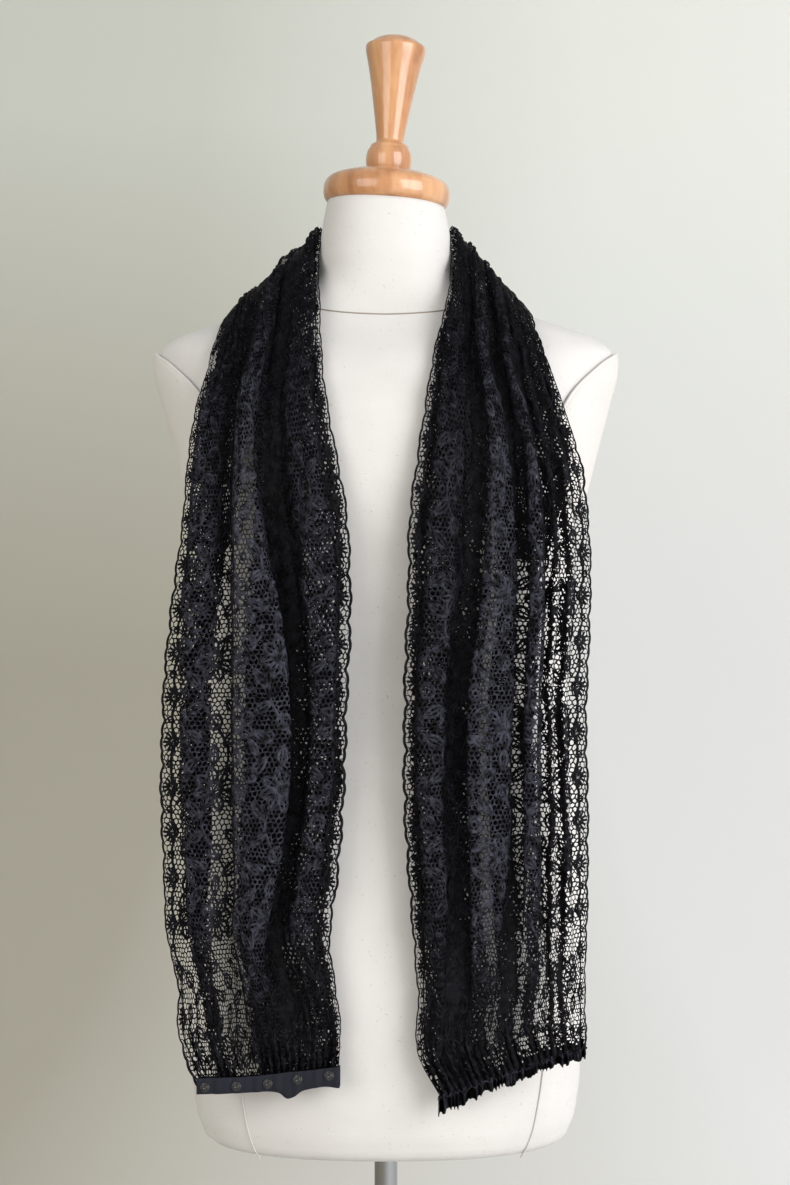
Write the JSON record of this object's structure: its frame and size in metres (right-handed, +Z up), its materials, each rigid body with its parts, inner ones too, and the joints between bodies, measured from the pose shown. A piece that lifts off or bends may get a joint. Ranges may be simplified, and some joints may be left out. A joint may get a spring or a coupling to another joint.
{
  "type": "lace shawl on a dress form",
  "caption": "Long narrow black lace shawl draped round the neck of a limbless dress form, with both ends hanging in folds to the hip, one on a snap band and one in a gathered ruffle.",
  "frame": {"origin": "centre of the base's underside, at the middle of the bounding box's bottom", "axes": "+Z up along the stand's pole; the form's chest and the shawl's two hanging ends face -Y; +X is the viewer's right from the front"},
  "size_m": [0.3834, 0.3, 1.1663],
  "materials": {
    "linen_cover": "matt cream linen",
    "plate_cover": "matt cream linen",
    "varnished_wood": "gloss varnish on honey-brown wood",
    "stand_steel": "bright plated",
    "black_lace": "black net lace with a slight blue-grey sheen",
    "band_cotton": "charcoal woven tape",
    "stud_enamel": "gloss black enamel"
  },
  "bodies": {
    "root": {"arm_plate_left": "plate_cover", "arm_plate_right": "plate_cover", "cap_disc": "varnished_wood", "cap_finial": "varnished_wood", "form_body": "linen_cover", "press_stud_1": "stud_enamel", "press_stud_2": "stud_enamel", "press_stud_3": "stud_enamel", "press_stud_4": "stud_enamel", "press_stud_5": "stud_enamel", "ruffle_hem": "black_lace", "shawl_left_front": "black_lace", "shawl_neck_back": "black_lace", "shawl_right_front": "black_lace", "snap_band": "band_cotton", "stand_base": "stand_steel", "stand_pole": "stand_steel"}
  },
  "joints": []
}
